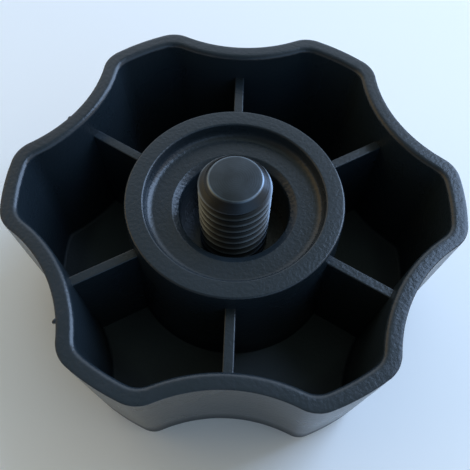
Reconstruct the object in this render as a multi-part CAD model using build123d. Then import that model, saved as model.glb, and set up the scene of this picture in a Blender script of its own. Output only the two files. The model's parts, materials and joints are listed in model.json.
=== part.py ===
from build123d import *
from math import radians, tan
import os

# Lobed hand knob: one plastic moulding, hollow and ribbed underneath, on a moulded-in steel stud.
# It lies on its crown with the hollow side up. The origin is the centre of the crown's flat face,
# +Z runs along the stud and one lobe points along +X. Lengths are millimetres, angles are degrees.

# Lobed body
lobe_count = 6
knob_diameter = 50.0  # across opposite lobe tips, at the rim
body_height = 18.5  # from the crown's face to the rim
scallop_radius = 16.25  # finger hollow between two lobes, at the rim
scallop_depth = 3.5  # from the lobe tips in to the bottom of a finger hollow
lobe_corner_radius = 2.1  # rounding where a lobe turns into a finger hollow, at the crown
crown_edge_break = 1.0  # bevel of the crown's outer edge
wall_thickness = 1.75  # at the rim
wall_draft = 4.5  # both faces of the outer wall lean in towards the crown
crown_thickness = 2.0  # skin under the pockets
pocket_corner_radius = 1.3  # inside rounding behind each lobe corner, at the pocket's floor
pocket_floor_break = 0.7  # bevel where the wall meets a pocket's floor
rim_edge_break = 0.35  # bevel of the rim's inner edge; the outer edge is the mould's sharp parting line

# Hub
hub_diameter = 24.2  # at its top face
hub_below_rim = 0.9
hub_draft = 1.5
hub_edge_break = 0.3  # bevel of the hub's top edges
recess_diameter = 20.0  # shallow seat for the face of the mating boss
recess_depth = 1.85
recess_root_break = 0.6  # bevel at the foot of the recess wall
bore_diameter = 12.4  # clearance round the stud
bore_bevel_width = 0.8  # shallow bevel of the bore's mouth
bore_bevel_height = 0.5

# Ribs from the hub to the middle of each finger hollow
rib_thickness = 1.15  # at the top
rib_below_rim = 3.25
rib_draft = 0.75

# Stud: a hexagon-head screw with its head buried in the hub
stud_diameter = 8.0  # coarse metric thread, over the crests
stud_above_rim = 2.65
stud_tip_chamfer = 1.1
head_across_flats = 13.0
head_height = 5.3
neck_diameter = 7.2  # plain neck between the head and the thread, gripped by the plastic
neck_height = 1.0
head_from_crown = 2.5  # plastic between the crown's face and the head

overrun = 1.0  # how far a cutting shape runs past the face that it opens

# Derived sizes
half_pitch = 180 / lobe_count
knob_radius = knob_diameter / 2
scallop_centre = knob_radius - scallop_depth + scallop_radius
rim_z = body_height
hub_z = rim_z - hub_below_rim
recess_z = hub_z - recess_depth
rib_z = rim_z - rib_below_rim
root_z = crown_thickness - overrun
neck_z = head_from_crown + head_height
bore_z = neck_z + neck_height
stud_tip_z = rim_z + stud_above_rim

STANDING = (Align.CENTER, Align.CENTER, Align.MIN)


def lobed_plug(inset, foot_corner_radius, low_z, high_z):
    """Plug with the knob's lobes and draft. At the rim it lies inside the outer wall's face by inset."""
    foot_inset = inset + (rim_z - low_z) * tan(radians(wall_draft))
    outline = Circle(knob_radius - foot_inset)
    outline -= PolarLocations(scallop_centre, lobe_count, half_pitch) * Circle(scallop_radius + foot_inset)
    outline = fillet(outline.vertices(), foot_corner_radius)
    plug = Pos(0, 0, low_z) * extrude(outline, high_z - low_z)
    walls = plug.faces() - plug.faces().filter_by(Axis.Z)
    return draft(walls, Plane.XY.offset(low_z), -wall_draft)


def hub_plug():
    """Round hub, wider at the foot by its draft, with its top edge bevelled."""
    height = hub_z - root_z
    top_radius = hub_diameter / 2
    foot_radius = top_radius + height * tan(radians(hub_draft))
    hub = Pos(0, 0, root_z) * Cone(foot_radius, top_radius, height, align=STANDING)
    return chamfer(hub.faces().sort_by(Axis.Z)[-1].edges(), hub_edge_break)


def rib_bars():
    """Ribs as bars from the middle of the knob outwards, thicker at the foot by their draft."""
    half_top = rib_thickness / 2
    half_foot = half_top + (rib_z - root_z) * tan(radians(rib_draft))
    section = Polygon(
        (-half_foot, root_z),
        (half_foot, root_z),
        (half_top, rib_z),
        (-half_top, rib_z),
        align=None,
    )
    bar = extrude(Plane.YZ * section, knob_radius)
    return PolarLocations(0, lobe_count, half_pitch) * bar


def pocket_void():
    """All the air inside the wall: the pockets and the space over the ribs and the hub."""
    void = lobed_plug(wall_thickness, pocket_corner_radius, crown_thickness, rim_z + overrun)
    void = chamfer(void.faces().sort_by(Axis.Z)[0].edges(), pocket_floor_break)
    void -= rib_bars()
    return void - hub_plug()


def stud_well():
    """Air round the stud: its bore, the shallow seat above and the bevelled mouths of both."""
    bore_radius = bore_diameter / 2
    recess_radius = recess_diameter / 2
    recess_root = (recess_radius, recess_z)
    recess_mouth = (recess_radius, hub_z)
    profile = Polygon(
        (0, bore_z),
        (bore_radius, bore_z),
        (bore_radius, recess_z - bore_bevel_height),
        (bore_radius + bore_bevel_width, recess_z),
        recess_root,
        recess_mouth,
        (recess_radius + overrun, hub_z),
        (recess_radius + overrun, hub_z + overrun),
        (0, hub_z + overrun),
        align=None,
    )
    profile = chamfer(profile.vertices().sort_by_distance(recess_root)[0], recess_root_break)
    profile = chamfer(profile.vertices().sort_by_distance(recess_mouth)[0], hub_edge_break)
    return revolve(Plane.XZ * profile, Axis.Z)


def threaded_stud():
    """Screw standing on its hexagon head, with the thread drawn at its crest diameter."""
    head = extrude(RegularPolygon(head_across_flats / 2, 6, major_radius=False), head_height)
    neck = Cylinder(neck_diameter / 2, neck_height, align=STANDING)
    thread = Cylinder(stud_diameter / 2, stud_tip_z - bore_z, align=STANDING)
    thread = chamfer(thread.faces().sort_by(Axis.Z)[-1].edges(), stud_tip_chamfer)
    return Pos(0, 0, head_from_crown) * head + Pos(0, 0, neck_z) * neck + Pos(0, 0, bore_z) * thread


def knob_body(stud):
    """The moulding: lobed shell, ribs and hub in one piece, closed round the stud's head."""
    body = lobed_plug(0, lobe_corner_radius, 0, rim_z)
    body = chamfer(body.faces().sort_by(Axis.Z)[0].edges(), crown_edge_break)
    body -= pocket_void()
    rim = body.faces().filter_by(Axis.Z).sort_by(Axis.Z)[-1]
    body = chamfer(rim.edges() - rim.outer_wire().edges(), rim_edge_break)
    body -= stud_well()
    return body - stud


stud_solid = threaded_stud()
nodes = {
    "knob_body": knob_body(stud_solid),
    "threaded_stud": stud_solid,
}

os.makedirs("parts", exist_ok=True)
for name, solid in nodes.items():
    export_step(solid, f"parts/{name}.step")
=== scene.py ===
"""Lobed hand knob: a black moulding that lies on its crown, with a short threaded stud in its hub."""

import json
import math

import bmesh
import bpy
from bpy.props import FloatProperty, FloatVectorProperty, IntProperty, PointerProperty
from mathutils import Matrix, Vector


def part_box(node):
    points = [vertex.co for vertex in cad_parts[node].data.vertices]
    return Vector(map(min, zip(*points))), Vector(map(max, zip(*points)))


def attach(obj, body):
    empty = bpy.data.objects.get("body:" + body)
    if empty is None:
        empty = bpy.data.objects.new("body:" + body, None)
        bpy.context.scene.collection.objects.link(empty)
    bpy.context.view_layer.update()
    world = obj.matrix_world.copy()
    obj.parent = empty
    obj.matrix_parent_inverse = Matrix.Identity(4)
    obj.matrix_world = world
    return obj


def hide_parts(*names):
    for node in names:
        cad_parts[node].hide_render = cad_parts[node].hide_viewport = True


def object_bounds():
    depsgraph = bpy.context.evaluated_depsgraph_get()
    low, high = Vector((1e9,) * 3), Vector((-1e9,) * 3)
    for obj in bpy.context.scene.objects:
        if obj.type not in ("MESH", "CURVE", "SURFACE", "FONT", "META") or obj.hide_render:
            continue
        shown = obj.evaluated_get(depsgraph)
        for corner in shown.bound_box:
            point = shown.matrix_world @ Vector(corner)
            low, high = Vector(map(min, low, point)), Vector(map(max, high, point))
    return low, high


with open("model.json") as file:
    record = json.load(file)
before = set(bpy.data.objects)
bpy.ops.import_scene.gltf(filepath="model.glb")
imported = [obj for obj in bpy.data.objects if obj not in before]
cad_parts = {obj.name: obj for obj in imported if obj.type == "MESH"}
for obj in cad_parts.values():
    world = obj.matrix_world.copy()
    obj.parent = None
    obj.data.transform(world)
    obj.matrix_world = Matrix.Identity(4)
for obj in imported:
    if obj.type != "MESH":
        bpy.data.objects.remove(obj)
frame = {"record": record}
CAD_LOW, CAD_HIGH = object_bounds()

bl_info = {
    "name": "Lobed hand knob",
    "version": (1, 0, 0),
    "blender": (4, 5, 0),
    "location": "View3D > Sidebar > Knob",
    "description": "Models a lobed hand knob and its threaded stud, and sets a plain stage for them",
    "category": "Object",
}

MM = 0.001
TOUCH = 0.002 * MM  # points nearer than this are one point
ORIGIN = (0, 0, 0)
UP = (0, 0, 1)
SMOOTH_ANGLE = math.radians(32)  # a sharper turn between two faces is shaded as an edge
FACING_UP = 0.9  # least rise of the normal of a face that looks up
ARC = 0.5  # bevel profile of a round edge
CROWN_EDGE_STEPS, EDGE_STEPS, FINE_EDGE_STEPS = 10, 7, 3  # facets across a rounding

BODY_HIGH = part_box("knob_body")[1]
STUD_LOW, STUD_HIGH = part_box("threaded_stud")
STUD_MOUNT = next(mount for mount in frame["record"]["mounts"] if mount["name"] == "stud")
STUD_LENGTH = STUD_MOUNT["dims"]["length_mm"] * MM
THREAD_FOOT = STUD_MOUNT["pos_m"][2] - STUD_LENGTH / 2


def linear(hex_colour):
    """Linear RGB of an sRGB hex colour."""
    parts = [int(hex_colour[i:i + 2], 16) / 255 for i in (1, 3, 5)]
    return tuple(c / 12.92 if c <= 0.04045 else ((c + 0.055) / 1.055) ** 2.4 for c in parts)


def length(name, description, millimetres):
    """Keywords of a length property whose default is given in millimetres."""
    return {"name": name, "description": description, "default": millimetres * MM, "unit": "LENGTH"}


def angle(name, description, degrees):
    """Keywords of an angle property whose default is given in degrees."""
    return {"name": name, "description": description, "default": math.radians(degrees), "subtype": "ANGLE"}


def colour(name, description, hex_colour):
    """Keywords of a colour property whose default is an sRGB hex value."""
    return {
        "name": name,
        "description": description,
        "default": linear(hex_colour),
        "subtype": "COLOR",
        "size": 3,
        "min": 0,
        "max": 1,
    }


class KnobSizes(bpy.types.PropertyGroup):
    """Sizes of the moulding, with those at the rim measured before its edge is rounded."""

    lobes: IntProperty(name="Lobes", description="Lobes round the knob", default=6, min=3)
    diameter: FloatProperty(**length("Diameter", "Across opposite lobes at the rim", 50))
    hollow_radius: FloatProperty(**length("Hollow radius", "Finger hollow between two lobes", 16.25))
    hollow_depth: FloatProperty(**length("Hollow depth", "From the lobes in to the middle of a hollow", 3.5))
    corner_radius: FloatProperty(**length("Corner radius", "Where a lobe turns into a hollow, outside", 3.55))
    pocket_corner: FloatProperty(**length("Pocket corner", "Where a lobe turns into a hollow, inside", 2.6))
    draft: FloatProperty(**angle("Draft", "Lean of both faces of the outer wall", 4.5))
    wall: FloatProperty(**length("Wall", "Thickness of the outer wall", 1.75))
    crown: FloatProperty(**length("Crown", "Thickness of the skin under the pockets", 2))
    crown_edge: FloatProperty(**length("Crown edge", "Rounding of the crown's outer edge", 1.8))
    parting_edge: FloatProperty(**length("Parting edge", "Rounding of the rim's crisp outer edge", 0.1))
    rim_edge: FloatProperty(**length("Rim edge", "Rounding of the rim's inner edge", 0.6))
    pocket_root: FloatProperty(**length("Pocket root", "Rounding between wall and pocket floor", 0.4))
    hub_diameter: FloatProperty(**length("Hub diameter", "Hub at its top face", 24.2))
    hub_drop: FloatProperty(**length("Hub drop", "Hub's top face below the rim", 0.9))
    hub_draft: FloatProperty(**angle("Hub draft", "Lean of the hub's side", 1.5))
    hub_edge: FloatProperty(**length("Hub edge", "Rounding of the hub's top edges", 0.25))
    recess_diameter: FloatProperty(**length("Recess diameter", "Shallow seat in the hub", 20))
    recess_depth: FloatProperty(**length("Recess depth", "Seat's floor below the hub's face", 1.85))
    recess_root: FloatProperty(**length("Recess root", "Rounding at the foot of the seat's wall", 1))
    bore_diameter: FloatProperty(**length("Bore diameter", "Clearance hole round the stud", 12.4))
    bevel_width: FloatProperty(**length("Bevel width", "Shallow bevel of the bore's mouth", 0.8))
    bevel_height: FloatProperty(**length("Bevel height", "Shallow bevel of the bore's mouth", 0.5))
    bevel_edge: FloatProperty(**length("Bevel edge", "Rounding of both edges of that bevel", 0.3))
    rib_thickness: FloatProperty(**length("Rib thickness", "At the top of a rib", 1.15))
    rib_drop: FloatProperty(**length("Rib drop", "Tops of the ribs below the rim", 3.25))
    rib_draft: FloatProperty(**angle("Rib draft", "Lean of a rib's sides", 0.75))
    rib_edge: FloatProperty(**length("Rib edge", "Rounding of the ribs' top edges", 0.15))


class StudSizes(bpy.types.PropertyGroup):
    """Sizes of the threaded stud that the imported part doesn't give."""

    pitch: FloatProperty(**length("Pitch", "Coarse thread, one turn", 1.25))
    tip_chamfer: FloatProperty(**length("Tip chamfer", "Bevel at the free end", 1.1))
    tip_edge: FloatProperty(**length("Tip edge", "Rounding of the end face's edge", 0.12))
    neck_diameter: FloatProperty(**length("Neck diameter", "Plain neck held by the moulding", 7.2))
    neck_height: FloatProperty(**length("Neck height", "Plain neck over the head", 1))


class Finishes(bpy.types.PropertyGroup):
    """Colours of the two materials."""

    plastic: FloatVectorProperty(**colour("Plastic", "Moulded black plastic", "#1A2329"))
    plastic_pale: FloatVectorProperty(**colour("Pale plastic", "Paler flow marks in the plastic", "#202930"))
    # Painted light on the pocket floors, with some settled dust
    dust: FloatVectorProperty(**colour("Dust", "Fine dust on the pocket floors", "#566160"))
    scuff: FloatVectorProperty(**colour("Scuff", "Rubbed plastic on the rim", "#252B33"))
    oxide: FloatVectorProperty(**colour("Black oxide", "Blackened steel", "#34373A"))
    # Pale bluish bare steel, used as wear and as painted highlight on the crests, the tip's edge ring and end
    # face
    oxide_worn_and_highlight: FloatVectorProperty(**colour("Worn oxide", "Rubbed crests and edge of the tip", "#94A2B0"))


class StageSettings(bpy.types.PropertyGroup):
    """Camera, floor and light."""

    camera_place: FloatVectorProperty(
        name="Camera place",
        description="Where the camera stands",
        default=(0.18 * MM, -37.24 * MM, 76.13 * MM),
        subtype="TRANSLATION",
        unit="LENGTH",
    )
    camera_turn: FloatVectorProperty(
        name="Camera turn",
        description="How the camera is turned",
        default=tuple(math.radians(degrees) for degrees in (29.02, -1.08, 1.95)),
        subtype="EULER",
    )
    camera_lens: FloatProperty(
        name="Lens",
        description="Focal length on a 36 mm sensor, in millimetres",
        default=48.54,
        subtype="DISTANCE_CAMERA",
    )
    floor: FloatVectorProperty(**colour("Floor", "Pale matt floor", "#F7F7F5"))
    key: FloatVectorProperty(**colour("Key", "Cool window light from the right and behind", "#B0D1FF"))
    sky_back: FloatVectorProperty(**colour("Back", "Cool light from low behind the knob", "#DBECFE"))
    sky_front: FloatVectorProperty(**colour("Front", "Cool light from low before the knob", "#9CC2EA"))
    sky_high: FloatVectorProperty(**colour("Overhead", "Light from above", "#6C7672"))
    horizon: FloatVectorProperty(**colour("Horizon", "Pale ground that the floor fades into", "#E4E9EE"))
    sky_side: FloatVectorProperty(**colour("Sides", "Warm light from both sides", "#D8BF92"))
    key_power: FloatProperty(
        name="Key power",
        description="Power of the key light",
        default=2.5,
        unit="POWER",
    )
    key_distance: FloatProperty(**length("Key distance", "From the knob to the key light", 450))
    key_width: FloatProperty(**length("Key width", "Key light from side to side", 240))
    key_height: FloatProperty(**length("Key height", "Key light from top to bottom", 520))
    floor_size: FloatProperty(**length("Floor size", "Side of the floor", 4000))
    sky_strength: FloatProperty(name="Sky strength", description="Level of the light all round", default=1.68)


def make_active(piece):
    """Selects one piece, and nothing else, in object mode."""
    bpy.ops.object.select_all(action="DESELECT")
    piece.select_set(True)
    bpy.context.view_layer.objects.active = piece


def pick(kind, test):
    """Selects the verts, edges or faces of the edited mesh that pass a test, and nothing else."""
    bpy.ops.mesh.select_mode(type={"verts": "VERT", "edges": "EDGE", "faces": "FACE"}[kind])
    bpy.ops.mesh.select_all(action="DESELECT")
    mesh = bpy.context.object.data
    edited = bmesh.from_edit_mesh(mesh)
    found = [element for element in getattr(edited, kind) if test(element)]
    if not found:
        raise RuntimeError(f"no {kind} to select on {bpy.context.object.name}")
    for element in found:
        element.select_set(True)
    edited.select_flush_mode()
    bmesh.update_edit_mesh(mesh)


def start_piece(name, add_primitive, **settings):
    """Adds a primitive under a name, with its place in its mesh, and opens it in edit mode."""
    bpy.ops.object.select_all(action="DESELECT")
    add_primitive(**settings)
    bpy.ops.object.transform_apply(location=True, rotation=True, scale=True)
    piece = bpy.context.object
    piece.name = name
    piece.data.name = name
    bpy.ops.object.mode_set(mode="EDIT")
    bpy.ops.mesh.select_mode(type="VERT")
    bpy.ops.mesh.select_all(action="SELECT")
    return piece


def draw_section(name, points):
    """Draws an open line of (radius, height) points by pulling one vertex along from point to point."""
    piece = start_piece(name, bpy.ops.mesh.primitive_plane_add, size=MM)
    bpy.ops.mesh.merge(type="CENTER")
    bpy.ops.transform.translate(value=section_point(points[0]))
    for start, end in zip(points, points[1:]):
        step = section_point(end) - section_point(start)
        bpy.ops.mesh.extrude_region_move(TRANSFORM_OT_translate={"value": step})
    return piece


def section_point(point):
    """Place of a (radius, height) point in the plane where sections are drawn."""
    return Vector((point[0], 0, point[1]))


def round_corner(point, radius, steps):
    """Rounds the drawn line's corner at a (radius, height) point."""
    place = section_point(point)
    edited = bmesh.from_edit_mesh(bpy.context.object.data)
    corner = min(edited.verts, key=lambda vert: (vert.co - place).length)
    arms = [edge.other_vert(corner).co - corner.co for edge in corner.link_edges]
    reach = radius / math.tan(arms[0].angle(arms[1]) / 2)
    pick("verts", lambda vert: (vert.co - place).length < TOUCH)
    bpy.ops.mesh.bevel(affect="VERTICES", offset=reach, segments=steps, profile=ARC)


def turn_section(steps, turn, centre=ORIGIN):
    """Spins what is selected counter-clockwise, as seen from above, about an upright axis."""
    bpy.ops.mesh.spin(steps=steps, angle=-turn, center=centre, axis=UP)


def repeat_at_hollows(lobes):
    """Copies the edited mesh, drawn on the X axis, to the middle of every finger hollow."""
    bpy.ops.mesh.select_all(action="SELECT")
    pitch = math.tau / lobes
    bpy.ops.mesh.spin(steps=lobes - 1, dupli=True, angle=pitch * (lobes - 1), center=ORIGIN, axis=UP)
    bpy.ops.mesh.select_all(action="SELECT")
    bpy.ops.transform.rotate(value=pitch / 2, orient_axis="Z", center_override=ORIGIN)


def merge_doubles():
    """Merges the points of the edited mesh that lie almost on top of each other."""
    bpy.ops.mesh.select_all(action="SELECT")
    bpy.ops.mesh.remove_doubles(threshold=TOUCH)


def close_mesh():
    """Merges doubles, points the faces outwards and leaves edit mode."""
    merge_doubles()
    bpy.ops.mesh.normals_make_consistent(inside=False)
    bpy.ops.object.mode_set(mode="OBJECT")


def apply_modifier(piece, kind, **settings):
    """Adds a modifier to a piece, sets it and applies it."""
    make_active(piece)
    bpy.ops.object.modifier_add(type=kind)
    modifier = piece.modifiers[-1]
    for field, value in settings.items():
        setattr(modifier, field, value)
    bpy.ops.object.modifier_apply(modifier=modifier.name)


def combine(piece, tool, operation):
    """Joins, cuts or crosses a piece with another solid, which is used up."""
    apply_modifier(piece, "BOOLEAN", operation=operation, object=tool, solver="EXACT")
    if not piece.data.polygons:
        raise RuntimeError(f"nothing is left of {piece.name} after {tool.name}")
    bpy.data.objects.remove(tool)


def weld_seams(piece):
    """Merges the doubles that the booleans leave, so that no face is a sliver."""
    make_active(piece)
    bpy.ops.object.mode_set(mode="EDIT")
    merge_doubles()
    bpy.ops.object.mode_set(mode="OBJECT")


def finish_piece(piece, node, material):
    """Shades a piece, gives it its material and puts it in place of its solid."""
    weld_seams(piece)
    bpy.ops.object.shade_smooth_by_angle(angle=SMOOTH_ANGLE)
    apply_modifier(piece, "WEIGHTED_NORMAL", keep_sharp=True)
    piece.data.materials.clear()
    piece.data.materials.append(material)
    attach(piece, "root")
    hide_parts(node)


# Moulding

HOLLOW_STEPS, CORNER_STEPS, LOBE_STEPS = 18, 14, 6  # facets of half a hollow, a corner and half a lobe
HUB_STEPS = 144  # facets round the hub
OUTER_LIP, INNER_LIP = 1 / 4, 1 / 2  # shares of the wall that the two skins bring to the rim's flat
NIB_FINENESS = 3  # subdivisions of a scrap of flash
FLASH = (  # scraps of flash: bearing, length along the rim and how far they stand proud
    (math.radians(222.4), 0.5 * MM, 0.38 * MM),
    (math.radians(154.1), 0.7 * MM, 0.2 * MM),
)


def hollow_mid(sizes):
    """Distance from the knob's axis to the middle of a finger hollow, at the rim."""
    return sizes.diameter / 2 - sizes.hollow_depth


def hollow_axis(sizes):
    """Distance from the knob's axis to the centre of a finger hollow's arc."""
    return hollow_mid(sizes) + sizes.hollow_radius


def lobed_skin(name, section, roundings, inset, corner_radius, sizes):
    """Spins a section, drawn at a finger hollow, along the lobed outline that lies inset from the rim's."""
    skin = draw_section(name, section)
    for point, radius, steps in roundings:
        round_corner(point, radius, steps)

    # The corner's arc touches the hollow's arc and the lobe's arc.
    hollow_centre = hollow_axis(sizes)
    corner_reach = sizes.diameter / 2 - inset - corner_radius
    hollow_reach = sizes.hollow_radius + inset + corner_radius
    corner_bearing = far_angle(corner_reach, hollow_centre, hollow_reach)
    hollow_turn = far_angle(hollow_reach, hollow_centre, corner_reach)
    corner_centre = (corner_reach * math.cos(corner_bearing), corner_reach * math.sin(corner_bearing), 0)
    half_pitch = math.pi / sizes.lobes
    bpy.ops.mesh.select_all(action="SELECT")
    turn_section(HOLLOW_STEPS, -hollow_turn, (hollow_centre, 0, 0))
    turn_section(CORNER_STEPS, hollow_turn + corner_bearing, corner_centre)
    turn_section(LOBE_STEPS, half_pitch - corner_bearing)
    bpy.ops.object.mode_set(mode="OBJECT")
    apply_modifier(skin, "MIRROR", use_axis=(False, True, False), merge_threshold=TOUCH)

    bpy.ops.object.mode_set(mode="EDIT")
    repeat_at_hollows(sizes.lobes)
    merge_doubles()
    bpy.ops.object.mode_set(mode="OBJECT")
    return skin


def wall_shell(sizes):
    """Crown and outer wall: an outer and an inner skin, closed along the rim and at the crown."""
    rim = BODY_HIGH.z
    lean = math.tan(sizes.draft)
    outer_rim = (hollow_mid(sizes), rim)
    inner_rim = (outer_rim[0] - sizes.wall, rim)
    foot = (outer_rim[0] - rim * lean, 0)
    root = (inner_rim[0] - (rim - sizes.crown) * lean, sizes.crown)
    crown_stop = (foot[0] - sizes.crown_edge, 0)
    floor_stop = (root[0] - sizes.pocket_root, sizes.crown)
    outer_stop = (outer_rim[0] - sizes.wall * OUTER_LIP, rim)
    inner_stop = (inner_rim[0] + sizes.wall * INNER_LIP, rim)
    shell = lobed_skin(
        "knob_moulding",
        [crown_stop, foot, outer_rim, outer_stop],
        [(foot, sizes.crown_edge, CROWN_EDGE_STEPS), (outer_rim, sizes.parting_edge, FINE_EDGE_STEPS)],
        0,
        sizes.corner_radius,
        sizes,
    )
    pockets = lobed_skin(
        "pocket_skin",
        [inner_stop, inner_rim, root, floor_stop],
        [(inner_rim, sizes.rim_edge, EDGE_STEPS), (root, sizes.pocket_root, EDGE_STEPS)],
        sizes.wall,
        sizes.pocket_corner,
        sizes,
    )
    make_active(shell)
    pockets.select_set(True)
    bpy.ops.object.join()
    bpy.ops.object.mode_set(mode="EDIT")
    pick("edges", lambda edge: is_open_at(edge, rim))
    bpy.ops.mesh.fill(use_beauty=True)
    for height in (0, sizes.crown):
        pick("edges", lambda edge: is_open_at(edge, height))
        bpy.ops.mesh.edge_face_add()
    close_mesh()
    return shell


def is_open_at(edge, height):
    """Whether an edge bounds a hole in the mesh that lies level at a height."""
    return edge.is_boundary and all(abs(vert.co.z - height) < TOUCH for vert in edge.verts)


def flash_nib(sizes, bearing, along, proud):
    """Scrap of flash on the rim's outer edge, beside the middle of a finger hollow."""
    hollow_centre = hollow_axis(sizes)
    pitch = math.tau / sizes.lobes
    aside = (bearing % pitch) - pitch / 2
    edge = hollow_centre * math.cos(aside) - math.sqrt(
        sizes.hollow_radius**2 - (hollow_centre * math.sin(aside)) ** 2
    )
    nib = start_piece(
        "flash",
        bpy.ops.mesh.primitive_ico_sphere_add,
        subdivisions=NIB_FINENESS,
        radius=1,
        location=(edge * math.cos(bearing), edge * math.sin(bearing), BODY_HIGH.z - along / 2),
        rotation=(0, 0, bearing),
        scale=(proud, along / 2, along / 2),
    )
    bpy.ops.object.mode_set(mode="OBJECT")
    return nib


def far_angle(near_side, other_side, far_side):
    """Angle of a triangle between its first two sides."""
    return math.acos((near_side**2 + other_side**2 - far_side**2) / (2 * near_side * other_side))


def hub_solid(sizes):
    """Round hub with its seat and the bore round the stud, spun from one section."""
    top = BODY_HIGH.z - sizes.hub_drop
    seat = top - sizes.recess_depth
    base = sizes.crown / 2
    top_radius = sizes.hub_diameter / 2
    base_radius = top_radius + (top - base) * math.tan(sizes.hub_draft)
    recess_radius = sizes.recess_diameter / 2
    bore_radius = sizes.bore_diameter / 2
    outer_edge = (top_radius, top)
    recess_mouth = (recess_radius, top)
    recess_foot = (recess_radius, seat)
    bevel_high = (bore_radius + sizes.bevel_width, seat)
    bevel_low = (bore_radius, seat - sizes.bevel_height)
    hub = draw_section(
        "hub",
        [
            (0, base),
            (base_radius, base),
            outer_edge,
            recess_mouth,
            recess_foot,
            bevel_high,
            bevel_low,
            (bore_radius, THREAD_FOOT),
            (0, THREAD_FOOT),
        ],
    )
    round_corner(outer_edge, sizes.hub_edge, FINE_EDGE_STEPS)
    round_corner(recess_mouth, sizes.hub_edge, FINE_EDGE_STEPS)
    round_corner(recess_foot, sizes.recess_root, EDGE_STEPS)
    for point in (bevel_high, bevel_low):
        round_corner(point, sizes.bevel_edge, EDGE_STEPS)
    bpy.ops.mesh.select_all(action="SELECT")
    turn_section(HUB_STEPS, math.tau)
    close_mesh()
    return hub


def rib_bars(sizes):
    """Ribs from inside the hub to inside the wall, at the middle of each finger hollow."""
    top = BODY_HIGH.z - sizes.rib_drop
    base = sizes.crown / 2
    inner_end = (sizes.hub_diameter + sizes.bore_diameter) / 4  # middle of the hub's wall
    outer_end = hollow_mid(sizes) - sizes.wall
    half_top = sizes.rib_thickness / 2
    half_base = half_top + (top - base) * math.tan(sizes.rib_draft)
    ribs = start_piece(
        "ribs",
        bpy.ops.mesh.primitive_cube_add,
        size=1,
        location=((inner_end + outer_end) / 2, 0, (base + top) / 2),
        scale=(outer_end - inner_end, 2 * half_base, top - base),
    )
    pick("faces", lambda face: face.normal.z > FACING_UP)
    bpy.ops.transform.resize(value=(1, half_top / half_base, 1))
    pick("edges", lambda edge: all(v.co.z > top - TOUCH for v in edge.verts) and is_along_x(edge))
    bpy.ops.mesh.bevel(offset=sizes.rib_edge, segments=FINE_EDGE_STEPS, profile=ARC)
    repeat_at_hollows(sizes.lobes)
    close_mesh()
    return ribs


def is_along_x(edge):
    """Whether an edge has both ends at one Y, as a rib's long edges do."""
    return abs(edge.verts[0].co.y - edge.verts[1].co.y) < TOUCH


# Stud

ROUND_STEPS, BLANK_STEPS = 64, 96  # facets round the thread and the neck, and round the bevelled end
SPARE_TURNS = 2  # turns of thread past each end, which are cut off
HEAD_SIDES = 6
HEAD_BORDER = 1 * MM  # border of the head's top face


def thread_rod(sizes, crest_radius):
    """Rod with a right-handed coarse thread, closed by flat cuts at its foot and past its tip."""
    # Flanks meet at 60 degrees. A crest is an eighth of the pitch wide and a root a quarter.
    height = sizes.pitch * math.sqrt(3) / 2
    depth = height * 5 / 8
    root_radius = crest_radius - depth
    flank = depth / math.sqrt(3)
    half_root = sizes.pitch / 8
    half_crest = sizes.pitch / 16
    low = THREAD_FOOT - SPARE_TURNS * sizes.pitch
    rod = draw_section(
        "thread",
        [
            (root_radius, low),
            (root_radius, low + half_root),
            (crest_radius, low + half_root + flank),
            (crest_radius, low + half_root + flank + 2 * half_crest),
            (root_radius, low + half_root + 2 * flank + 2 * half_crest),
            (root_radius, low + sizes.pitch),
        ],
    )
    bpy.ops.object.mode_set(mode="OBJECT")
    turns = math.ceil((STUD_HIGH.z - low) / sizes.pitch) + SPARE_TURNS
    apply_modifier(
        rod,
        "SCREW",
        axis="Z",
        angle=math.tau,
        screw_offset=sizes.pitch,
        iterations=turns,
        steps=ROUND_STEPS,
        render_steps=ROUND_STEPS,
        use_merge_vertices=False,
    )
    bpy.ops.object.mode_set(mode="EDIT")
    merge_doubles()
    cuts = ((THREAD_FOOT, {"clear_inner": True}), (STUD_HIGH.z + sizes.pitch / 2, {"clear_outer": True}))
    for level, side in cuts:
        bpy.ops.mesh.select_all(action="SELECT")
        bpy.ops.mesh.bisect(plane_co=(0, 0, level), plane_no=UP, use_fill=True, threshold=TOUCH, **side)
    close_mesh()
    return rod


def tip_blank(sizes, crest_radius):
    """Round blank with the stud's bevelled end, which the thread is turned down to."""
    low = THREAD_FOOT - sizes.pitch
    high = STUD_HIGH.z
    blank_radius = crest_radius + sizes.pitch
    end_radius = crest_radius - sizes.tip_chamfer
    blank = draw_section(
        "blank",
        [
            (0, low),
            (blank_radius, low),
            (blank_radius, high - (blank_radius - end_radius)),
            (end_radius, high),
            (0, high),
        ],
    )
    round_corner((end_radius, high), sizes.tip_edge, FINE_EDGE_STEPS)
    bpy.ops.mesh.select_all(action="SELECT")
    turn_section(BLANK_STEPS, math.tau)
    close_mesh()
    return blank


def head_and_neck(sizes, name):
    """Hexagon head and plain neck that the moulding holds."""
    neck_foot = THREAD_FOOT - sizes.neck_height
    across_corners = STUD_HIGH.x - STUD_LOW.x
    head = start_piece(
        name,
        bpy.ops.mesh.primitive_cylinder_add,
        vertices=HEAD_SIDES,
        radius=across_corners / 2,
        depth=neck_foot - STUD_LOW.z,
        location=(0, 0, (neck_foot + STUD_LOW.z) / 2),
        rotation=(0, 0, math.pi / HEAD_SIDES),
    )
    pick("faces", lambda face: face.normal.z > FACING_UP)
    bpy.ops.mesh.inset(thickness=HEAD_BORDER)
    bpy.ops.object.mode_set(mode="OBJECT")
    neck = start_piece(
        "neck",
        bpy.ops.mesh.primitive_cylinder_add,
        vertices=ROUND_STEPS,
        radius=sizes.neck_diameter / 2,
        depth=2 * sizes.neck_height,  # its lower half lies in the head
        location=(0, 0, neck_foot),
    )
    bpy.ops.object.mode_set(mode="OBJECT")
    combine(head, neck, "UNION")
    return head


# Materials

MIX_A, MIX_B, MIX_RESULT = 6, 7, 2  # colour sockets of a Mix node


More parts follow.
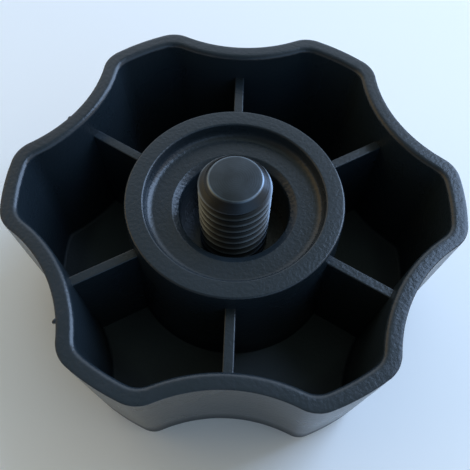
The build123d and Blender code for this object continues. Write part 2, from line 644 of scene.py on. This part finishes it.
def add_node(tree, kind, inputs=None, **settings):
    """Adds a node, sets its fields and sets or links its inputs."""
    node = tree.nodes.new(kind)
    for field, value in settings.items():
        setattr(node, field, value)
    for socket, value in (inputs or {}).items():
        if isinstance(value, bpy.types.NodeSocket):
            tree.links.new(value, node.inputs[socket])
        else:
            node.inputs[socket].default_value = value
    return node


def new_material(name):
    """A node material with nothing in it, and its tree."""
    material = bpy.data.materials.new(name)
    material.use_nodes = True
    material.node_tree.nodes.clear()
    return material, material.node_tree


def moulded_plastic(finishes, sizes):
    """Black polypropylene from a spark-eroded mould.

    It gives the eye a soft satin sheen with a fine even grain, slightly paler flow marks, a rim that is
    rubbed a little grey, and dull pocket floors painted paler, as painted light with some settled dust.
    """
    grain_mm = 0.4  # coarser than the real 0.1 mm, so that it shows
    grain_height_mm = 0.065
    grain_strength = 0.6
    flow_mm = 9
    rub_mm = 1.4
    rub_low, rub_high = 0.42, 0.72  # noise at which the rim is not rubbed yet, and is rubbed most
    rub_share = 0.4
    noise_detail = 3.0
    floor_band_mm = 0.25  # height above and below a pocket's floor that is painted paler, as light and dust
    floor_light_share = 0.45
    satin_low, satin_high = 0.22, 0.34  # roughness between and on the flow marks
    floor_rough, wall_rough = 0.6, 0.2  # least roughness in the pockets, at their floors and higher up
    dull_rise = 3  # crown thicknesses up to where the pockets' dull finish has faded
    ior = 1.46  # a little under the usual 1.49
    inner_mid = hollow_mid(sizes) - sizes.wall
    material, tree = new_material("moulded_black_polypropylene")
    place = add_node(tree, "ShaderNodeTexCoord").outputs["Object"]
    grain, flow, rub = (
        add_node(
            tree, "ShaderNodeTexNoise", {"Vector": place, "Scale": 1 / (size * MM), "Detail": noise_detail}
        ).outputs["Fac"]
        for size in (grain_mm, flow_mm, rub_mm)
    )
    height = add_node(tree, "ShaderNodeSeparateXYZ", {"Vector": place}).outputs["Z"]
    near_rim = add_node(
        tree,
        "ShaderNodeMapRange",
        {"Value": height, "From Min": BODY_HIGH.z - sizes.rim_edge, "From Max": BODY_HIGH.z},
    ).outputs["Result"]
    patchy = add_node(
        tree,
        "ShaderNodeMapRange",
        {"Value": rub, "From Min": rub_low, "From Max": rub_high, "To Max": rub_share},
    ).outputs["Result"]
    rubbed = add_node(
        tree, "ShaderNodeMath", {0: near_rim, 1: patchy}, operation="MULTIPLY"
    ).outputs["Value"]
    streaked = add_node(
        tree,
        "ShaderNodeMix",
        {"Factor": flow, MIX_A: (*finishes.plastic, 1), MIX_B: (*finishes.plastic_pale, 1)},
        data_type="RGBA",
    ).outputs[MIX_RESULT]
    worn = add_node(
        tree,
        "ShaderNodeMix",
        {"Factor": rubbed, MIX_A: streaked, MIX_B: (*finishes.scuff, 1)},
        data_type="RGBA",
    ).outputs[MIX_RESULT]
    # Painted light on the pocket floors, with some settled dust: patchy by the flow noise, fading out at the
    # outer wall.
    on_floor = add_node(
        tree, "ShaderNodeMath", {0: height, 1: sizes.crown, 2: floor_band_mm * MM}, operation="COMPARE"
    ).outputs["Value"]
    flat = add_node(
        tree, "ShaderNodeVectorMath", {0: place, 1: (1, 1, 0)}, operation="MULTIPLY"
    ).outputs["Vector"]
    radius = add_node(tree, "ShaderNodeVectorMath", {0: flat}, operation="LENGTH").outputs["Value"]
    inside = add_node(
        tree,
        "ShaderNodeMapRange",
        {
            "Value": radius,
            "From Min": inner_mid - sizes.wall,
            "From Max": inner_mid,
            "To Min": floor_light_share,
            "To Max": 0.0,
        },
    ).outputs["Result"]
    floor_light_mask = add_node(
        tree, "ShaderNodeMath", {0: on_floor, 1: inside}, operation="MULTIPLY"
    ).outputs["Value"]
    floor_light_amount = add_node(tree, "ShaderNodeMath", {0: floor_light_mask, 1: flow}, operation="MULTIPLY").outputs["Value"]
    base = add_node(
        tree,
        "ShaderNodeMix",
        {"Factor": floor_light_amount, MIX_A: worn, MIX_B: (*finishes.dust, 1)},
        data_type="RGBA",
    ).outputs[MIX_RESULT]
    satin = add_node(
        tree, "ShaderNodeMapRange", {"Value": flow, "To Min": satin_low, "To Max": satin_high}
    ).outputs["Result"]
    matt = add_node(
        tree,
        "ShaderNodeMapRange",
        {
            "Value": height,
            "From Min": sizes.crown,
            "From Max": dull_rise * sizes.crown,
            "To Min": floor_rough,
            "To Max": wall_rough,
        },
    ).outputs["Result"]
    roughness = add_node(tree, "ShaderNodeMath", {0: satin, 1: matt}, operation="MAXIMUM").outputs["Value"]
    bump = add_node(
        tree,
        "ShaderNodeBump",
        {"Height": grain, "Strength": grain_strength, "Distance": grain_height_mm * MM},
    ).outputs["Normal"]
    shader = add_node(
        tree,
        "ShaderNodeBsdfPrincipled",
        {"Base Color": base, "Roughness": roughness, "Normal": bump, "IOR": ior},
    )
    add_node(tree, "ShaderNodeOutputMaterial", {"Surface": shader.outputs["BSDF"]})
    return material


def blackened_steel(finishes, crest_radius, end_radius):
    """Black oxide on a rolled thread.

    It gives the eye a dark satin metal with fine turning rings on the end face, a thin bright ring at the
    edge of that face, a slightly paler end face and brighter thread crests: bare worn steel and painted
    highlight.
    """
    ring_mm = 0.25
    ring_height_mm = 0.01
    ring_strength = 0.15
    stain_mm = 1.8
    stain_detail = 4.0
    crest_mm, crest_share = 0.22, 0.75  # how deep the crests are rubbed and painted bright, and how much
    edge_mm, edge_fade_mm, edge_share = 0.05, 0.22, 0.7  # worn and painted-highlight edge ring: full to here, gone from here, how strong
    face_mm, face_fade_mm, face_share = 0.02, 0.05, 0.14  # the same for the end face, counted down from it
    rough_low, rough_high = 0.26, 0.42
    material, tree = new_material("black_oxide_steel")
    place = add_node(tree, "ShaderNodeTexCoord").outputs["Object"]
    flat = add_node(
        tree, "ShaderNodeVectorMath", {0: place, 1: (1, 1, 0)}, operation="MULTIPLY"
    ).outputs["Vector"]
    radius = add_node(tree, "ShaderNodeVectorMath", {0: flat}, operation="LENGTH").outputs["Value"]
    rings = add_node(
        tree, "ShaderNodeMath", {0: radius, 1: math.tau / (ring_mm * MM)}, operation="MULTIPLY"
    ).outputs["Value"]
    ridges = add_node(tree, "ShaderNodeMath", {0: rings}, operation="SINE").outputs["Value"]
    stain = add_node(
        tree, "ShaderNodeTexNoise", {"Vector": place, "Scale": 1 / (stain_mm * MM), "Detail": stain_detail}
    ).outputs["Fac"]
    on_crest = add_node(
        tree,
        "ShaderNodeMapRange",
        {
            "Value": radius,
            "From Min": crest_radius - crest_mm * MM,
            "From Max": crest_radius,
            "To Max": crest_share,
        },
    ).outputs["Result"]
    height = add_node(tree, "ShaderNodeSeparateXYZ", {"Vector": place}).outputs["Z"]
    ring_point = add_node(tree, "ShaderNodeCombineXYZ", {"X": radius, "Z": height}).outputs["Vector"]
    from_edge = add_node(
        tree,
        "ShaderNodeVectorMath",
        {0: ring_point, 1: (end_radius, 0, STUD_HIGH.z)},
        operation="DISTANCE",
    ).outputs["Value"]
    on_edge = add_node(
        tree,
        "ShaderNodeMapRange",
        {
            "Value": from_edge,
            "From Min": edge_mm * MM,
            "From Max": edge_fade_mm * MM,
            "To Min": edge_share,
            "To Max": 0.0,
        },
    ).outputs["Result"]
    on_face = add_node(
        tree,
        "ShaderNodeMapRange",
        {
            "Value": height,
            "From Min": STUD_HIGH.z - face_fade_mm * MM,
            "From Max": STUD_HIGH.z - face_mm * MM,
            "To Max": face_share,
        },
    ).outputs["Result"]
    # Painted highlight, with real wear: the crests, the end face and the ring at its edge are mixed towards
    # the pale bluish bare steel.
    tip_wear_and_highlight = add_node(tree, "ShaderNodeMath", {0: on_face, 1: on_edge}, operation="MAXIMUM").outputs["Value"]
    rubbed = add_node(tree, "ShaderNodeMath", {0: on_crest, 1: tip_wear_and_highlight}, operation="MAXIMUM").outputs["Value"]
    worn = add_node(
        tree, "ShaderNodeMath", {0: rubbed, 1: stain}, operation="MULTIPLY", use_clamp=True
    ).outputs["Value"]
    base = add_node(
        tree,
        "ShaderNodeMix",
        {"Factor": worn, MIX_A: (*finishes.oxide, 1), MIX_B: (*finishes.oxide_worn_and_highlight, 1)},
        data_type="RGBA",
    ).outputs[MIX_RESULT]
    roughness = add_node(
        tree, "ShaderNodeMapRange", {"Value": stain, "To Min": rough_low, "To Max": rough_high}
    ).outputs["Result"]
    bump = add_node(
        tree,
        "ShaderNodeBump",
        {"Height": ridges, "Strength": ring_strength, "Distance": ring_height_mm * MM},
    ).outputs["Normal"]
    shader = add_node(
        tree,
        "ShaderNodeBsdfPrincipled",
        {"Base Color": base, "Metallic": 1.0, "Roughness": roughness, "Normal": bump},
    )
    add_node(tree, "ShaderNodeOutputMaterial", {"Surface": shader.outputs["BSDF"]})
    return material


def matt_floor(stage):
    """Matt painted board.

    It gives the eye a plain pale ground with a barely seen tooth.
    """
    tooth_mm = 0.8
    tooth_height_mm = 0.02
    tooth_strength = 0.05
    roughness = 0.75
    material, tree = new_material("matt_painted_board")
    place = add_node(tree, "ShaderNodeTexCoord").outputs["Object"]
    tooth = add_node(
        tree, "ShaderNodeTexNoise", {"Vector": place, "Scale": 1 / (tooth_mm * MM)}
    ).outputs["Fac"]
    bump = add_node(
        tree,
        "ShaderNodeBump",
        {"Height": tooth, "Strength": tooth_strength, "Distance": tooth_height_mm * MM},
    ).outputs["Normal"]
    shader = add_node(
        tree,
        "ShaderNodeBsdfPrincipled",
        {"Base Color": (*stage.floor, 1), "Roughness": roughness, "Normal": bump},
    )
    add_node(tree, "ShaderNodeOutputMaterial", {"Surface": shader.outputs["BSDF"]})
    return material


# Stage

KEY_BEARING = Vector((0.67, 0.46, 0.5)).normalized()  # from the knob towards the key light
BACK_BEARING = Vector((0.35, 0.9, 0.2)).normalized()  # middle of the band behind the knob
FRONT_BEARING = Vector((0.45, -0.88, 0.15)).normalized()  # middle of the band before it
BAND_EDGE, DOME_EDGE, LAYER_CORE = 0.2, 0.55, 0.95  # cosines from a layer's middle to its edge and its core
SHADE_BEARING = Vector((-0.42, -0.68, 0.6)).normalized()  # middle of the dim part, high on the near left
SHADE_EDGE = math.radians(52)  # from that bearing out to full light
SHADE_CORE = math.radians(28)  # from that bearing out to the end of full shade
SHADE_LEVEL = 0.2  # light that is left in full shade
HORIZON_LOW = math.radians(6)  # far ground only, below this
HORIZON_HIGH = math.radians(18)  # sky only, above this
GROUND_LEVEL = 1.0


def light_all_round(stage):
    """World light: low cool bands behind and before, dim high on the near left, over a pale far ground."""
    world = bpy.data.worlds.new("soft_light")
    bpy.context.scene.world = world
    world.use_nodes = True
    tree = world.node_tree
    tree.nodes.clear()
    bearing = add_node(tree, "ShaderNodeTexCoord").outputs["Generated"]
    layers = (
        (BACK_BEARING, BAND_EDGE, stage.sky_back),
        (FRONT_BEARING, BAND_EDGE, stage.sky_front),
        (Vector(UP), DOME_EDGE, stage.sky_high),
    )
    tint = (*stage.sky_side, 1)
    for way, edge, layer_colour in layers:
        toward = add_node(
            tree, "ShaderNodeVectorMath", {0: bearing, 1: way}, operation="DOT_PRODUCT"
        ).outputs["Value"]
        share = add_node(
            tree,
            "ShaderNodeMapRange",
            {"Value": toward, "From Min": edge, "From Max": LAYER_CORE},
            interpolation_type="SMOOTHSTEP",
        ).outputs["Result"]
        tint = add_node(
            tree,
            "ShaderNodeMix",
            {"Factor": share, MIX_A: tint, MIX_B: (*layer_colour, 1)},
            data_type="RGBA",
        ).outputs[MIX_RESULT]
    toward_shade = add_node(
        tree, "ShaderNodeVectorMath", {0: bearing, 1: SHADE_BEARING}, operation="DOT_PRODUCT"
    ).outputs["Value"]
    level = add_node(
        tree,
        "ShaderNodeMapRange",
        {
            "Value": toward_shade,
            "From Min": math.cos(SHADE_EDGE),
            "From Max": math.cos(SHADE_CORE),
            "To Min": stage.sky_strength,
            "To Max": stage.sky_strength * SHADE_LEVEL,
        },
        interpolation_type="SMOOTHSTEP",
    ).outputs["Result"]
    sky = add_node(tree, "ShaderNodeBackground", {"Color": tint, "Strength": level}).outputs["Background"]
    far_ground = add_node(
        tree, "ShaderNodeBackground", {"Color": (*stage.horizon, 1), "Strength": GROUND_LEVEL}
    ).outputs["Background"]
    rise = add_node(tree, "ShaderNodeSeparateXYZ", {"Vector": bearing}).outputs["Z"]
    above_ground = add_node(
        tree,
        "ShaderNodeMapRange",
        {"Value": rise, "From Min": math.sin(HORIZON_LOW), "From Max": math.sin(HORIZON_HIGH)},
        interpolation_type="SMOOTHSTEP",
    ).outputs["Result"]
    shader = add_node(tree, "ShaderNodeMixShader", {0: above_ground, 1: far_ground, 2: sky})
    add_node(tree, "ShaderNodeOutputWorld", {"Surface": shader.outputs["Shader"]})


def key_light(stage):
    """Large soft window light on the right, a little behind the knob."""
    bpy.ops.object.light_add(type="AREA", location=KEY_BEARING * stage.key_distance)
    lamp = bpy.context.object
    lamp.name = "key_light"
    lamp.rotation_euler = KEY_BEARING.to_track_quat("Z", "Y").to_euler()
    lamp.data.shape = "RECTANGLE"
    lamp.data.size = stage.key_width
    lamp.data.size_y = stage.key_height
    lamp.data.energy = stage.key_power
    lamp.data.color = stage.key
    lamp.visible_camera = False


def photo_camera(stage):
    """Camera at the photograph's viewing angle."""
    bpy.ops.object.camera_add(location=stage.camera_place, rotation=stage.camera_turn)
    camera = bpy.context.object
    camera.name = "photo_camera"
    camera.data.lens = stage.camera_lens
    camera.data.clip_start = MM
    bpy.context.scene.camera = camera


def pale_floor(stage):
    """Plain floor under the crown."""
    floor = start_piece(
        "floor", bpy.ops.mesh.primitive_plane_add, size=stage.floor_size, location=(0, 0, CAD_LOW.z)
    )
    bpy.ops.object.mode_set(mode="OBJECT")
    floor.data.materials.append(matt_floor(stage))


class KNOB_OT_moulding(bpy.types.Operator):
    """Models the black moulding: lobed wall, crown, hub and ribs in one piece"""

    bl_idname = "knob.moulding"
    bl_label = "Knob moulding"
    bl_options = {"REGISTER", "UNDO"}

    def execute(self, context):
        scene = context.scene
        sizes = scene.knob_sizes
        moulding = wall_shell(sizes)
        combine(moulding, rib_bars(sizes), "UNION")
        combine(moulding, hub_solid(sizes), "UNION")
        combine(moulding, head_and_neck(scene.stud_sizes, "head_seat"), "DIFFERENCE")
        for bearing, along, proud in FLASH:
            combine(moulding, flash_nib(sizes, bearing, along, proud), "UNION")
        finish_piece(moulding, "knob_body", moulded_plastic(scene.knob_finishes, sizes))
        return {"FINISHED"}


class KNOB_OT_stud(bpy.types.Operator):
    """Models the threaded stud with its bevelled tip, neck and hexagon head"""

    bl_idname = "knob.stud"
    bl_label = "Threaded stud"
    bl_options = {"REGISTER", "UNDO"}

    def execute(self, context):
        scene = context.scene
        sizes = scene.stud_sizes
        crest_radius = STUD_MOUNT["dims"]["r_mm"] * MM
        stud = thread_rod(sizes, crest_radius)
        stud.name = "stud"
        stud.data.name = "stud"
        combine(stud, tip_blank(sizes, crest_radius), "INTERSECT")
        combine(stud, head_and_neck(sizes, "head"), "UNION")
        steel = blackened_steel(scene.knob_finishes, crest_radius, crest_radius - sizes.tip_chamfer)
        finish_piece(stud, "threaded_stud", steel)
        return {"FINISHED"}


class KNOB_OT_stage(bpy.types.Operator):
    """Sets the floor, the light and the camera"""

    bl_idname = "knob.stage"
    bl_label = "Stage"
    bl_options = {"REGISTER", "UNDO"}

    def execute(self, context):
        stage = context.scene.knob_stage
        pale_floor(stage)
        light_all_round(stage)
        key_light(stage)
        photo_camera(stage)
        context.scene.view_settings.view_transform = "Standard"
        return {"FINISHED"}


class KNOB_PT_panel(bpy.types.Panel):
    """Sidebar panel with the knob's sizes, finishes, stage and operators"""

    bl_idname = "KNOB_PT_panel"
    bl_label = "Lobed hand knob"
    bl_space_type = "VIEW_3D"
    bl_region_type = "UI"
    bl_category = "Knob"

    def draw(self, context):
        for group in GROUPS:
            values = getattr(context.scene, group)
            box = self.layout.box()
            for field in values.__annotations__:
                box.prop(values, field)
        for operator in OPERATORS:
            self.layout.operator(operator.bl_idname)


GROUPS = {
    "knob_sizes": KnobSizes,
    "stud_sizes": StudSizes,
    "knob_finishes": Finishes,
    "knob_stage": StageSettings,
}
OPERATORS = (KNOB_OT_moulding, KNOB_OT_stud, KNOB_OT_stage)
CLASSES = (*GROUPS.values(), *OPERATORS, KNOB_PT_panel)


def register():
    """Registers the classes and hangs the settings on the scene."""
    for cls in CLASSES:
        bpy.utils.register_class(cls)
    for name, group in GROUPS.items():
        setattr(bpy.types.Scene, name, PointerProperty(type=group))


def unregister():
    """Takes the settings off the scene and unregisters the classes."""
    for name in GROUPS:
        delattr(bpy.types.Scene, name)
    for cls in reversed(CLASSES):
        bpy.utils.unregister_class(cls)


def main():
    """Builds the knob and its stage."""
    register()
    bpy.ops.knob.moulding()
    bpy.ops.knob.stud()
    bpy.ops.knob.stage()


if __name__ == "__main__":
    main()
